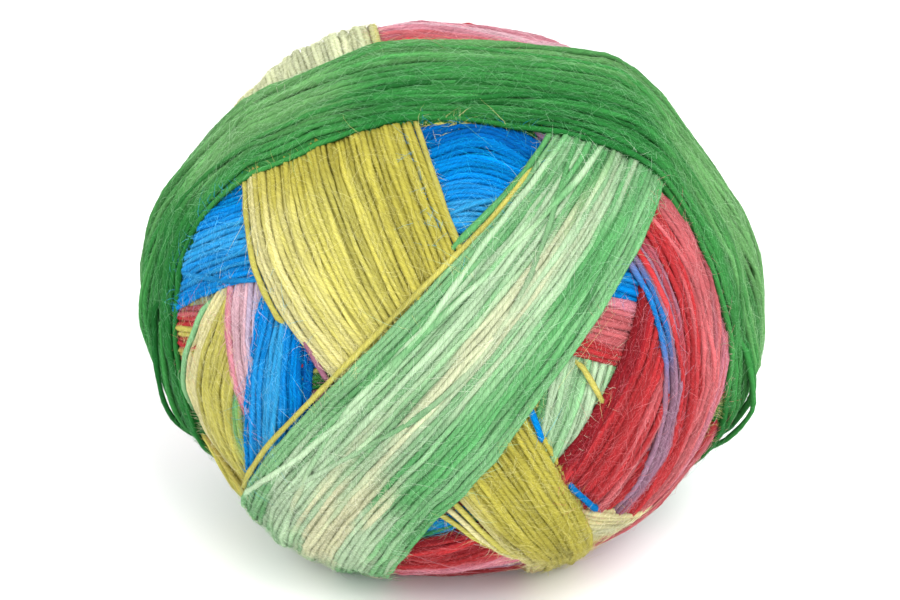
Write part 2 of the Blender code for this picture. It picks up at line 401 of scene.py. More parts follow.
# In the order that they are wound. After the name come the course's azimuth, tilt, offset,
# sway, sway_at, width, fan and fan_at, then the band's pile, runs and dye stops.
BANDS = (
    Band("core", 65, 30, 0.0, 0.0, 0, 0.1000, 0.0, 0, 0.0, 1, (
        DyeStop(-0.8, Dye.MEADOW), DyeStop(-0.5, Dye.YELLOW), DyeStop(-0.2, Dye.SKY_DEEP),
        DyeStop(0.1, Dye.ROSE), DyeStop(0.4, Dye.RED), DyeStop(0.75, Dye.YELLOW),
    )),
    Band("side_stripes", 204, 64, 0.0022, 0.0009, 26, 0.0162, 0.16, 2, 0.0008, 3, (
        DyeStop(-0.9, Dye.RED), DyeStop(-0.62, Dye.YELLOW), DyeStop(-0.45, Dye.LEAF),
        DyeStop(-0.25, Dye.RED), DyeStop(0.0, Dye.YELLOW), DyeStop(0.2, Dye.RED),
        DyeStop(0.4, Dye.YELLOW), DyeStop(0.62, Dye.RED), DyeStop(0.85, Dye.CORAL),
        DyeStop(-0.9, Dye.LEAF_DEEP, -20, 16), DyeStop(-0.4, Dye.SKY_DEEP, -20, 16),
        DyeStop(0.1, Dye.LEAF_DEEP, -20, 16), DyeStop(0.6, Dye.SKY_DEEP, -20, 16),
    ), 0.05),
    Band("bottom_red", 314, 41, 0.0022, 0.0, 0, 0.0206, 0.50, 43, 0.0009, 4, (
        DyeStop(0.4, Dye.RED), DyeStop(-0.2, Dye.CORAL), DyeStop(-0.8, Dye.RED),
        DyeStop(0.98, Dye.SKY, -12, 26), DyeStop(0.74, Dye.LEAF, -16, 26),
    ), 0.12, streaks=0.12, unevenness=0.14),
    strand("pink_strand", 82, 23, Dye.ROSE_PALE, 36, 19),
    Band("mint_patch", 295, 24, 0.0029, 0.0003, -74, 0.0176, 0.31, 153, 0.0008, 3, (
        DyeStop(0.9, Dye.MEADOW), DyeStop(0.4, Dye.MINT_PALE), DyeStop(0.0, Dye.MINT),
        DyeStop(-0.5, Dye.MINT_PALE), DyeStop(-0.9, Dye.MINT),
    )),
    strand("mint_strand", 123, 23, Dye.YELLOW, 3, 7),
    strand("blue_strand", 306, -15, Dye.SKY, -2, 7, 0.0165),
    Band("red_patch", 155, 54, -0.0007, 0.0003, 25, 0.0138, 0.14, -107, 0.0008, 3, (
        DyeStop(0.8, Dye.ROSE), DyeStop(0.3, Dye.CORAL), DyeStop(-0.2, Dye.CORAL),
        DyeStop(-0.8, Dye.RED),
    ), streaks=0.08),
    Band("left_yellow", 213, 6, -0.0057, 0.0030, -29, 0.0166, 0.50, -98, 0.0009, 3, (
        DyeStop(0.85, Dye.YELLOW_PALE), DyeStop(0.1, Dye.YELLOW),
        DyeStop(-0.6, Dye.YELLOW), DyeStop(-1.0, Dye.MEADOW),
    ), streaks=0.08, lone=(LoneTurn(1.08, Dye.MINT, -18, 32),)),
    Band("pink_left", 49, 15, -0.0002, 0.0, 0, 0.0122, 0.45, -144, 0.0008, 2, (
        DyeStop(-0.9, Dye.ROSE), DyeStop(-0.4, Dye.ROSE_PALE), DyeStop(0.1, Dye.ROSE_PALE),
        DyeStop(0.8, Dye.LILAC_PALE),
    ), streaks=0.1),
    Band("blue_left", 247, 4, 0.0149, 0.0024, -89, 0.0164, 0.50, -104, 0.0010, 3, (
        DyeStop(0.8, Dye.SKY), DyeStop(0.3, Dye.SKY_LIGHT), DyeStop(-0.2, Dye.SKY),
        DyeStop(-0.8, Dye.SKY_DEEP),
    )),
    strand("purple_strand", 73, 35, Dye.MAUVE, -31, 12),
    Band("blue_arc", 356, -42, -0.0033, 0.0, 0, 0.0273, 0.11, -16, 0.0011, 5, (
        DyeStop(-0.8, Dye.SKY_DEEP), DyeStop(-0.4, Dye.SKY), DyeStop(0.0, Dye.SKY),
        DyeStop(0.4, Dye.SKY_LIGHT), DyeStop(0.8, Dye.SKY),
    ), streaks=0.1),
    Band("deep_red", 130, -33, -0.0031, 0.0013, -14, 0.0184, 0.50, 73, 0.0012, 4, (
        DyeStop(-0.9, Dye.RED_DEEP), DyeStop(-0.3, Dye.RED), DyeStop(0.3, Dye.RED),
        DyeStop(0.85, Dye.CORAL), DyeStop(0.5, Dye.ROSE, 30, 24), DyeStop(-0.2, Dye.RED, 30, 24),
    ), streaks=0.16, unevenness=0.16),
    Band("red_lilac", 326, 11, 0.0033, 0.0050, 86, 0.0187, 0.22, 55, 0.0013, 4, (
        DyeStop(0.97, Dye.LILAC), DyeStop(0.84, Dye.MAUVE), DyeStop(0.72, Dye.LILAC),
        DyeStop(1.12, Dye.SKY, 31, 13),
        DyeStop(0.52, Dye.RED), DyeStop(0.2, Dye.RED), DyeStop(-0.1, Dye.CORAL),
        DyeStop(-0.5, Dye.CORAL), DyeStop(-0.9, Dye.ROSE),
    ), 0.10, streaks=0.10, unevenness=0.14),
    Band("corner_yellow", 80, 40, 0.0070, 0.0, 0, 0.0130, 0.40, -64, 0.0007, 2, (
        DyeStop(-0.6, Dye.YELLOW_PALE), DyeStop(0.5, Dye.YELLOW_PALE), DyeStop(0.0, Dye.CREAM),
    )),
    strand("corner_strand", 105, 38, Dye.SKY, 30, 8),
    Band("top_pink", 359, 16, 0.0005, 0.0, 0, 0.0180, 0.0, 0, 0.0022, 3, (
        DyeStop(-0.9, Dye.ROSE_PALE), DyeStop(-0.5, Dye.ROSE), DyeStop(-0.1, Dye.ROSE_PALE),
        DyeStop(0.3, Dye.ROSE), DyeStop(0.7, Dye.CORAL), DyeStop(0.95, Dye.RED),
        DyeStop(-0.6, Dye.YELLOW, -57, 18), DyeStop(0.0, Dye.YELLOW_PALE, -57, 18),
        DyeStop(0.6, Dye.YELLOW, -57, 18),
    )),
    Band("upper_yellow", 108, 21, -0.0091, 0.0050, 56, 0.0213, 0.50, -90, 0.0018, 5, (
        DyeStop(-0.85, Dye.YELLOW_PALE), DyeStop(-0.5, Dye.YELLOW), DyeStop(0.0, Dye.YELLOW),
        DyeStop(0.8, Dye.OLIVE), DyeStop(0.0, Dye.OLIVE, -72, 12), DyeStop(0.0, Dye.OLIVE, 22, 40),
        DyeStop(0.0, Dye.PRIMROSE, -100, 22),
    ), 0.3, lone=(
        LoneTurn(-1.05, Dye.YELLOW, -60, 24), LoneTurn(1.1, Dye.YELLOW, -44, 32),
        LoneTurn(1.03, Dye.OLIVE, -50, 26), LoneTurn(-1.15, Dye.YELLOW, 22, 26, slant=0.2),
        LoneTurn(-1.35, Dye.YELLOW_PALE, 22, 24, slant=0.45),
        LoneTurn(-1.6, Dye.YELLOW, 20, 22, slant=0.8),
    )),
    Band("pale_green", 257, 30, -0.0044, 0.0039, -30, 0.0239, 0.39, -33, 0.0021, 5, (
        DyeStop(0.95, Dye.MINT), DyeStop(0.78, Dye.MEADOW), DyeStop(0.55, Dye.MINT_PALE),
        DyeStop(0.35, Dye.MEADOW), DyeStop(0.22, Dye.MINT_PALE), DyeStop(0.05, Dye.CREAM),
        DyeStop(-0.12, Dye.MINT_PALE), DyeStop(-0.3, Dye.MINT), DyeStop(-0.5, Dye.MEADOW),
        DyeStop(-0.68, Dye.MEADOW), DyeStop(-0.85, Dye.MINT), DyeStop(-0.97, Dye.MEADOW),
        DyeStop(0.2, Dye.MEADOW, 75, 26), DyeStop(0.5, Dye.MINT_PALE, -38, 24),
        DyeStop(-0.1, Dye.CREAM, -38, 24), DyeStop(-0.5, Dye.MINT_PALE, -42, 20),
    ), 0.09, streaks=0.12, lone=(
        LoneTurn(1.06, Dye.YELLOW, 2, 75), LoneTurn(1.12, Dye.MEADOW, 55, 26),
    )),
    Band("dark_green", 3, -1, 0.0045, 0.0018, 20, 0.0300, 0.0, 0, 0.0021, 5, (
        DyeStop(-0.9, Dye.LEAF_LIGHT), DyeStop(-0.5, Dye.LEAF), DyeStop(0.3, Dye.LEAF),
        DyeStop(0.9, Dye.LEAF_DEEP), DyeStop(0.1, Dye.LEAF_LIGHT, -148, 30),
        DyeStop(0.7, Dye.LEAF, -148, 30), DyeStop(0.1, Dye.LEAF_LIGHT, -30, 20),
        DyeStop(0.7, Dye.LEAF, -30, 20),
    ), 0.3, streaks=0.16, unevenness=0.15, wander=0.00028, lone=(
        LoneTurn(0.62, Dye.LEAF, 31, 22, 0.0012), LoneTurn(0.52, Dye.LEAF_DEEP, 30, 24, 0.0022),
        LoneTurn(0.55, Dye.LEAF, -175, 20, 0.0014), LoneTurn(0.68, Dye.LEAF, -177, 22, 0.0026),
    )),
)


def in_half_axes(places: np.ndarray) -> np.ndarray:
    """Places in the core's own leaning directions, counted in its half axes."""
    lean_cos, lean_sin = math.cos(CORE_LEAN), math.sin(CORE_LEAN)
    along = places[..., 0] * lean_cos - places[..., 2] * lean_sin
    upward = places[..., 0] * lean_sin + places[..., 2] * lean_cos
    return np.stack([along, places[..., 1], upward], axis=-1) / CORE_RADII


def core_radius(directions: np.ndarray) -> np.ndarray:
    """Radius of the core, a leaning ellipsoid: the larger root of its square equation."""
    own, middle = in_half_axes(directions), in_half_axes(CORE_MIDDLE)
    square = (own**2).sum(axis=-1)
    product = own @ middle
    return (product + np.sqrt(product**2 + square * (1 - middle @ middle))) / square


def pulled_tight(around: np.ndarray, radius: np.ndarray) -> np.ndarray:
    """Radii of turns pulled tight round loops.

    The support of a loop in a direction is the largest reach of its points that way, and
    the tight turn reaches as far as the nearest support line lets it.

    Args:
        around: Angles of the loop's places, in radians.
        radius: Radii at those places, the last axis running round the loop.

    Returns:
        Radii of the same shape.
    """
    facing = np.cos(around[:, None] - around[None, :])
    support = (radius[..., :, None] * facing).max(axis=-2)
    reach = support[..., None, :] / np.maximum(facing, LEAST_FACING)
    return np.where(facing > LEAST_FACING, reach, np.inf).min(axis=-1)


def ripples(
    rng: np.random.Generator, count: int, around: np.ndarray, waves: range, height: float
) -> np.ndarray:
    """Smooth random ripples round loops: cosines of each number of waves, randomly begun.

    Args:
        rng: The source of chance.
        count: How many loops.
        around: Angles of the places, in radians.
        waves: The numbers of waves in a round.
        height: The usual height of the sum.

    Returns:
        Heights, one row for each loop.
    """
    numbers = np.array(list(waves))
    begun = rng.uniform(0, FULL_TURN, (count, len(numbers), 1))
    sizes = rng.normal(0, 1, (count, len(numbers), 1)) * height
    sizes = sizes * math.sqrt(2 / len(numbers))
    return (sizes * np.cos(numbers[:, None] * around + begun)).sum(axis=1)


@dataclass
class Winding:
    """The bands wound so far, each with the radii of its outer side."""

    wound: list[tuple[Band, np.ndarray]] = field(default_factory=list)

    def around(self) -> np.ndarray:
        """Angles of a loop's places, from the back round to the back again."""
        return np.arange(STEPS_AROUND) * FULL_TURN / STEPS_AROUND - math.pi

    def surface(self, directions: np.ndarray) -> np.ndarray:
        """Radius of the ball in each direction: the core's, or that of the highest band."""
        radius = core_radius(directions)
        for band, grid in self.wound:
            around, across = band.place_of(directions)
            inside = np.abs(across) <= 1.0
            height = self.sampled(grid, around, np.clip(across, -1.0, 1.0))
            radius = np.where(inside, np.maximum(radius, height), radius)
        return radius

    def sampled(self, grid: np.ndarray, around: np.ndarray, across: np.ndarray) -> np.ndarray:
        """Value of a grid of radii between its points, by two straight blends."""
        row = ((around + math.pi) / FULL_TURN % 1.0) * STEPS_AROUND
        column = (across + 1) / 2 * (GRID_COLUMNS - 1)
        row_low = np.floor(row).astype(int) % STEPS_AROUND
        column_low = np.clip(np.floor(column).astype(int), 0, GRID_COLUMNS - 2)
        row_part, column_part = row - np.floor(row), column - column_low
        row_high = (row_low + 1) % STEPS_AROUND
        low = grid[row_low, column_low] * (1 - column_part)
        low = low + grid[row_low, column_low + 1] * column_part
        high = grid[row_high, column_low] * (1 - column_part)
        high = high + grid[row_high, column_low + 1] * column_part
        return low * (1 - row_part) + high * row_part

    def tight_radius(self, band: Band, around: np.ndarray, across: np.ndarray) -> np.ndarray:
        """Radii of turns of a band pulled tight over the ball so far.

        The turn is tightened in its own cone about the band's axis, so its radius is the
        tight reach from the axis over the cosine of the latitude.

        Args:
            band: The band that the turns belong to.
            around: Angles of the places, one row.
            across: Places across the band, a row for each turn.

        Returns:
            Radii, a row for each turn.
        """
        rows = np.broadcast_to(around, across.shape)
        directions = band.directions(rows, across)
        slope = np.sqrt(1 - (directions @ band.axes()[0]) ** 2)
        return pulled_tight(around, self.surface(directions) * slope) / slope

    def shows(self, laid: "Laid", wound_before: int) -> np.ndarray:
        """Which places of a band's turns could be seen on the wound ball.

        A place counts where it lies no deeper than HIDDEN_DEPTH below the ball's outer
        side, straight above it or a little to either side, and where no later band covers
        it by more than its margin. The places next to one that counts do too.

        Args:
            laid: The turns.
            wound_before: How many bands were wound up to and with this one.

        Returns:
            True or false for each place, a row for each turn.
        """
        _, sideways, _ = laid.frames()
        own = laid.points - BALL_CENTRE
        reach = np.linalg.norm(own, axis=-1)
        seen = np.zeros(reach.shape, bool)
        for aside in (-LOOK_ASIDE, 0.0, LOOK_ASIDE):
            looked = own + aside * sideways
            looked = looked / np.linalg.norm(looked, axis=-1, keepdims=True)
            seen |= reach > self.surface(looked) - HIDDEN_DEPTH
        for band, grid in self.wound[wound_before:]:
            around, across = band.place_of(own / reach[..., None])
            inner = 1 - COVER_MARGIN / SURFACE_RADIUS / band.half_width(around)
            height = self.sampled(grid, around, np.clip(across, -1.0, 1.0))
            seen &= (np.abs(across) > inner) | (reach > height + TURN_HALF_HEIGHT)
        seen = seen | np.roll(seen, 1, axis=1) | np.roll(seen, -1, axis=1)
        return seen & laid.within

    def wind(self, band: Band) -> np.ndarray:
        """Lay a band over the ball so far, and keep the radii of its outer side."""
        across = np.linspace(-1.0, 1.0, GRID_COLUMNS)[:, None]
        across = np.repeat(across, STEPS_AROUND, axis=1)
        radius = self.tight_radius(band, self.around(), across) + band.pile_at(across)
        self.wound.append((band, radius.T))
        return radius.T


@dataclass
class Laid:
    """Turns laid on the ball: their centre lines, thickness, dye and the way out of the ball."""

    points: np.ndarray
    thickness: np.ndarray
    dye: np.ndarray
    within: np.ndarray
    shown: np.ndarray | None = None

    def frames(self) -> tuple[np.ndarray, np.ndarray, np.ndarray]:
        """Unit directions along, sideways and outward at every place.

        Along is the difference of the neighbours, outward points from the ball's centre
        less its part along, and sideways is at right angles to both.
        """
        along = np.roll(self.points, -1, axis=1) - np.roll(self.points, 1, axis=1)
        along = along / np.linalg.norm(along, axis=-1, keepdims=True)
        outward = self.points - BALL_CENTRE
        outward = outward - along * (outward * along).sum(axis=-1, keepdims=True)
        outward = outward / np.linalg.norm(outward, axis=-1, keepdims=True)
        return along, np.cross(outward, along), outward


@dataclass
class Rows:
    """Turns as places across their band, radii of their centre lines, and dyes."""

    across: np.ndarray
    radius: np.ndarray
    dye: np.ndarray

    def add(self, more: "Rows") -> None:
        """Put more rows after these."""
        self.across = np.concatenate([self.across, more.across])
        self.radius = np.concatenate([self.radius, more.radius])
        self.dye = np.concatenate([self.dye, more.dye])


@dataclass
class MeshParts:
    """Vertices, faces, yarn coordinates and dyes gathered for one mesh."""

    points: list[np.ndarray] = field(default_factory=list)
    dyes: list[np.ndarray] = field(default_factory=list)
    faces: dict[int, list[np.ndarray]] = field(default_factory=lambda: {4: [], 3: []})
    charts: dict[int, list[np.ndarray]] = field(default_factory=lambda: {4: [], 3: []})
    total: int = 0

    def add_points(self, points: np.ndarray, dyes: np.ndarray) -> int:
        """Add vertices with their dyes.

        Args:
            points: Places, the last axis of length 3.
            dyes: Colours of the same shape.

        Returns:
            The number of the first new vertex.
        """
        first = self.total
        self.points.append(points.reshape(-1, 3))
        self.dyes.append(dyes.reshape(-1, 3))
        self.total += self.points[-1].shape[0]
        return first

    def add_faces(self, corners: np.ndarray, chart: np.ndarray) -> None:
        """Add faces of one size with the yarn coordinates of their corners."""
        size = corners.shape[-1]
        self.faces[size].append(corners.reshape(-1, size))
        self.charts[size].append(chart.reshape(-1, size, 2))

    def make(self, name: str, material: bpy.types.Material) -> bpy.types.Object:
        """Make the object.

        Args:
            name: The piece's name.
            material: Its finish.

        Returns:
            The new object, riding on the ball's body in place of its solid.
        """
        mesh = bpy.data.meshes.new(name)
        points = np.concatenate(self.points)
        sizes = [size for size in (4, 3) if self.faces[size]]
        faces = {size: np.concatenate(self.faces[size]) for size in sizes}
        corners = np.concatenate([faces[size].ravel() for size in sizes])
        counts = np.concatenate([np.full(len(faces[size]), size) for size in sizes])
        charts = np.concatenate(
            [np.concatenate(self.charts[size]).reshape(-1, 2) for size in sizes]
        )
        mesh.vertices.add(len(points))
        mesh.vertices.foreach_set("co", points.astype(np.float32).ravel())
        mesh.loops.add(len(corners))
        mesh.loops.foreach_set("vertex_index", corners.astype(np.int32))
        mesh.polygons.add(len(counts))
        starts = np.concatenate([[0], np.cumsum(counts)[:-1]]).astype(np.int32)
        mesh.polygons.foreach_set("loop_start", starts)
        mesh.polygons.foreach_set("use_smooth", np.ones(len(counts), bool))
        layer = mesh.uv_layers.new(name="yarn")
        layer.data.foreach_set("uv", charts.astype(np.float32).ravel())
        dyes = mesh.color_attributes.new(name="dye", type="FLOAT_COLOR", domain="POINT")
        colours = np.concatenate([np.concatenate(self.dyes), np.ones((len(points), 1))], 1)
        dyes.data.foreach_set("color", colours.astype(np.float32).ravel())
        mesh.update(calc_edges=True)
        mesh.validate()
        mesh.materials.append(material)
        piece = bpy.data.objects.new(name, mesh)
        bpy.context.scene.collection.objects.link(piece)
        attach(piece, "root")
        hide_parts("wound_yarn")
        return piece


def sweep_turns(parts: MeshParts, laid: Laid) -> None:
    """Carry a flattened round section along the stretches of turns that show.

    A vertex is the centre line plus half the width times the cosine sideways and half the
    height times the sine outward, both scaled by the turn's thickness there. The dye is
    painted lighter on the crest as a painted highlight, where loose fibres catch the light,
    and darker on the underside as painted shade in the groove. A stretch is closed by a fan
    at each end.

    Args:
        parts: The mesh that the tubes go into.
        laid: The turns.
    """
    _, sideways, outward = laid.frames()
    count, steps = laid.points.shape[:2]
    angles = np.arange(TURN_SIDES) * FULL_TURN / TURN_SIDES + math.pi / 2
    wide = laid.thickness[..., None, None] * TURN_HALF_WIDTH
    high = laid.thickness[..., None, None] * TURN_HALF_HEIGHT
    ring = laid.points[:, :, None, :]
    ring = ring + wide * np.cos(angles)[:, None] * sideways[:, :, None, :]
    ring = ring + high * np.sin(angles)[:, None] * outward[:, :, None, :]
    ring[..., 2] = np.maximum(ring[..., 2], TABLE_GAP)
    ahead = laid.shown & np.roll(laid.shown, -1, axis=1)
    behind = np.roll(ahead, 1, axis=1)
    used = ahead | behind
    numbers = np.cumsum(used).reshape(used.shape) - 1
    # Painted light: each turn's dye is lighter on its crest and darker on its underside.
    dyes = laid.dye[:, :, None, :] * CREST_PAINTED_LIGHT[:, None]
    first = parts.add_points(ring[used], dyes[used])
    gaps = np.linalg.norm(np.roll(laid.points, -1, axis=1) - laid.points, axis=-1)
    run = np.concatenate([np.zeros((count, 1)), np.cumsum(gaps, axis=1)], axis=1)
    run = run * CENTIMETRES + np.arange(count)[:, None] * TURN_SHIFT
    turn, step = np.nonzero(ahead)
    side = np.arange(TURN_SIDES)[None, :]
    near = first + numbers[turn, step][:, None] * TURN_SIDES
    far = first + numbers[turn, (step + 1) % steps][:, None] * TURN_SIDES
    after = (side + 1) % TURN_SIDES
    corners = np.stack([near + side, near + after, far + after, far + side], -1)
    start, end = (np.repeat(run[turn, step + on][:, None], TURN_SIDES, 1) for on in (0, 1))
    low = np.broadcast_to(side / TURN_SIDES, start.shape)
    up = low + 1 / TURN_SIDES
    chart = np.stack([np.stack([start, low], -1), np.stack([start, up], -1),
                      np.stack([end, up], -1), np.stack([end, low], -1)], -2)
    parts.add_faces(corners, chart)
    fan = np.array([[0, 2, 1], [0, 3, 2], [0, 4, 3]])
    for ends, corner_order in ((ahead & ~behind, fan), (behind & ~ahead, fan[:, ::-1])):
        base = first + numbers[ends] * TURN_SIDES
        caps = base[:, None, None] + corner_order[None]
        parts.add_faces(caps, np.zeros(caps.shape + (2,)))


class Nodes:
    """A new material's nodes, with short ways to add, set and link them."""

    def __init__(self, name: str) -> None:
        """Start a material with its shader."""
        self.material = bpy.data.materials.new(name)
        self.material.use_nodes = True
        self.tree = self.material.node_tree
        self.shader = self.tree.nodes["Principled BSDF"]

    def set(self, node: bpy.types.Node, inputs: dict[int | str, object]) -> None:
        """Link each named input to the output given for it, or give it its value."""
        for name, value in inputs.items():
            if isinstance(value, bpy.types.NodeSocket):
                self.tree.links.new(value, node.inputs[name])
            else:
                node.inputs[name].default_value = value

    def add(self, kind: str, inputs: dict[int | str, object], **settings: str) -> bpy.types.Node:
        """Add a node.

        Args:
            kind: Its type, less the words that all shader nodes begin with.
            inputs: Its inputs, by name or number.
            settings: Its own settings.

        Returns:
            The new node.
        """
        node = self.tree.nodes.new("ShaderNode" + kind)
        for name, value in settings.items():
            setattr(node, name, value)
        self.set(node, inputs)
        return node

    def maths(self, operation: str, *values: object) -> bpy.types.NodeSocket:
        """Add a Math node on outputs or plain numbers, and give its output."""
        return self.add("Math", dict(enumerate(values)), operation=operation).outputs[0]


@dataclass(frozen=True)
class WoolFinish:
    """Matt, softly spun wool: fibre streaks that wind round the strand."""

    name: str = "wool_yarn"
    roughness: float = 0.92
    specular: float = 0.05
    twists_per_centimetre: float = 2.2
    streaks_per_centimetre: float = 3.0
    streak_scale: float = 2.6
    streak_detail: float = 4.0
    streak_roughness: float = 0.65
    streak_contrast: float = 0.34
    bump_strength: float = 0.8
    bump_depth: float = 0.0002

    def make(self) -> bpy.types.Material:
        """Make the material.

        The streaks are noise read at the cosine and sine of the angle round the strand
        plus its twist, and at the length along it, so that they join up all the way round.

        Returns:
            The material, which reads the attribute dye and the map yarn.
        """
        nodes = Nodes(self.name)
        dye = nodes.add("Attribute", {}, attribute_name="dye").outputs["Color"]
        chart = nodes.add("UVMap", {}, uv_map="yarn").outputs["UV"]
        length, side, _ = nodes.add("SeparateXYZ", {0: chart}).outputs
        twist = nodes.maths("MULTIPLY", length, self.twists_per_centimetre)
        angle = nodes.maths("MULTIPLY", nodes.maths("ADD", twist, side), FULL_TURN)
        place = nodes.add("CombineXYZ", {
            0: nodes.maths("COSINE", angle), 1: nodes.maths("SINE", angle),
            2: nodes.maths("MULTIPLY", length, self.streaks_per_centimetre)})
        fibres = nodes.add("TexNoise", {
            "Vector": place.outputs[0], "Scale": self.streak_scale,
            "Detail": self.streak_detail, "Roughness": self.streak_roughness}).outputs["Fac"]
        level = nodes.add("MapRange", {
            "Value": fibres, "From Min": 0.3, "From Max": 0.7,
            "To Min": 1.0 - self.streak_contrast, "To Max": 1.0 + self.streak_contrast})
        shade = nodes.add("VectorMath", {0: dye, "Scale": level.outputs[0]}, operation="SCALE")
        bump = nodes.add("Bump", {
            "Strength": self.bump_strength, "Distance": self.bump_depth, "Height": fibres})
        nodes.set(nodes.shader, {
            "Roughness": self.roughness, "Specular IOR Level": self.specular,
            "Base Color": shade.outputs[0], "Normal": bump.outputs[0]})
        return nodes.material


@dataclass(frozen=True)
class FuzzFinish:
    """Loose fibres: matt, in the strand's dye painted paler as painted light."""

    name: str = "wool_fuzz"
    roughness: float = 0.8
    specular: float = 0.1

    def make(self) -> bpy.types.Material:
        """Make the material, which reads the attribute dye."""
        nodes = Nodes(self.name)
        dye = nodes.add("Attribute", {}, attribute_name="dye").outputs["Color"]
        nodes.set(nodes.shader, {
            "Roughness": self.roughness, "Specular IOR Level": self.specular,
            "Base Color": dye})
        return nodes.material


@dataclass
class BandOfTurns:
    """One band: a bed in painted shade with its single turns of yarn laid on it."""

    band: Band
    order: int
    winding: Winding
    wool: bpy.types.Material
    riders: int = 3
    wound_before: int = 0
    laid: Laid | None = None
    grid: np.ndarray | None = None

    def turn_count(self) -> int:
        """Turns side by side where the band is widest."""
        around = self.winding.around()
        widest = self.band.half_width(around).max() * 2 * SURFACE_RADIUS
        return max(1, round(widest / TURN_PITCH))

    def lay(self) -> None:
        """Lay the band's turns over the ball so far, then wind the band itself.

        The edge stacks and lone turns come after its own turns, and all of them get their
        uneven shade and thickness together.
        """
        rng = np.random.default_rng(TURN_SEED + self.order)
        band, around = self.band, self.winding.around()
        half = band.half_width(around) * SURFACE_RADIUS
        rows = self.own_turns(rng, around, half)
        if not band.single:
            rows.add(self.edge_stacks(around, half))
        if band.lone:
            rows.add(self.lone_turns(rng, around, half))
        total = len(rows.dye)
        within = np.ones(rows.across.shape, bool)
        for number, lone in enumerate(reversed(band.lone)):
            within[total - 1 - number] = lone.share(around) > 0
        if band.single:
            share = stretch_share(around, *band.single)
            within &= share > 0
            rows.radius += SINGLE_LIFT - np.clip(1 - share * SINGLE_TUCK, 0.0, 1.0) * TUCK_DEPTH
        shade = 1 + rng.normal(0, band.unevenness, (total, 1, 1))
        shade = shade * (1 + ripples(rng, total, around, range(1, 20), SHADE_WAVES))[..., None]
        thickness = 1 + rng.normal(0, THICKNESS_SCATTER, (total, 1))
        thickness = thickness + ripples(rng, total, around, range(6, 50), THICKNESS_WAVES)
        directions = band.directions(rows.across * 0 + around, rows.across)
        points = BALL_CENTRE + directions * rows.radius[..., None]
        points[..., 2] = np.maximum(points[..., 2], TURN_HALF_HEIGHT * LOWEST_SHARE)
        thickness = np.clip(thickness, *THICKNESS_LIMITS)
        self.laid = Laid(points, thickness, np.clip(rows.dye * shade, 0, 1), within)
        if not band.single:
            self.grid = self.winding.wind(band)
        self.wound_before = len(self.winding.wound)

    def own_turns(self, rng: np.random.Generator, around: np.ndarray, half: np.ndarray) -> Rows:
        """The band's turns side by side, and the riders on top of them.

        Each turn keeps its place across the band but for slow waves. Where the band is
        narrow, some of the turns sink below the others, so that those on top keep their
        pitch. The riders cross the rest at a small angle.

        Args:
            rng: The source of chance.
            around: Angles of a loop's places.
            half: Half the band's width there, in metres.

        Returns:
            The turns, and after them the riders.
        """
        band, count = self.band, self.turn_count()
        riders = self.riders if count > FEW_TURNS and band.pile else 0
        total = count + riders
        home = (np.arange(count) + 0.5) / count * 2 - 1
        rank = (np.arange(count) * GOLDEN_SHARE) % 1.0
        home = np.concatenate([home, rng.uniform(-RIDER_REACH, RIDER_REACH, riders)])
        rank = np.concatenate([rank, np.zeros(riders)])
        aside = ripples(rng, total, around, range(1, 8), band.wander)
        aside = aside + ripples(rng, total, around, range(9, 40), SMALL_WAVES)
        across = home[:, None] + aside / half
        across[count:] += ripples(rng, riders, around, range(1, 4), RIDER_SWING)
        across = np.clip(across, -ACROSS_LIMIT, ACROSS_LIMIT)
        for bend in DRIFTS.get(band.name, ()):
            push = bend.share(around) * bend.aside / half
            across = across + push * (DRIFT_LEAST + (1 - DRIFT_LEAST) * (1 - home[:, None]) / 2)
        room = 2 * half / count / TURN_PITCH
        sink = np.clip((rank[:, None] - room) / SINK_RANGE, 0.0, 1.0)
        sink = sink * sink * (3 - 2 * sink) * SINK_DEPTH
        radius = self.winding.tight_radius(band, around, across) + band.pile_at(across)
        radius = radius - TURN_HALF_HEIGHT - sink
        radius = radius - np.maximum(np.abs(across) - DIVE_FROM, 0.0) * half * DIVE_SLOPE
        radius = radius + ripples(rng, total, around, range(2, 30), HEIGHT_WAVES)
        radius[count:] += RIDER_LIFT
        tint = home[:, None] + rng.normal(0, TINT_SCATTER * band.spread, (total, 1))
        tint = tint + ripples(rng, total, around, range(2, 9), band.streaks)
        dye = band.dye_at(tint, across * 0 + around)
        for turn in np.flatnonzero(rng.uniform(0, 1, total) < band.stray_share):
            dye[turn] = rng.choice([stray.linear() for stray in band.strays])
        return Rows(across, radius, dye)

    def edge_stacks(self, around: np.ndarray, half: np.ndarray) -> Rows:
        """Turns one below another at both edges, seen where the band bridges a hollow, in painted
        shade.
        """
        depth = np.tile(np.arange(1, EDGE_STACK + 1), 2)[:, None]
        side = np.repeat([-1.0, 1.0], EDGE_STACK)[:, None]
        place = side * (1 - (0.6 + 0.5 * (depth % 2)) * TURN_HALF_WIDTH / half)
        edge = np.repeat([[-1.0], [1.0]], len(around), axis=1)
        top = self.winding.tight_radius(self.band, around, edge) + self.band.pile_at(edge)
        top = np.repeat(top, EDGE_STACK, axis=0) - TURN_HALF_HEIGHT - depth * STACK_STEP
        # Painted shade: the stacked turns' dye is darkened.
        dye = self.band.dye_at(side + 0.0 * place, place * 0 + around) * STACK_PAINTED_SHADE
        return Rows(place, top, dye)

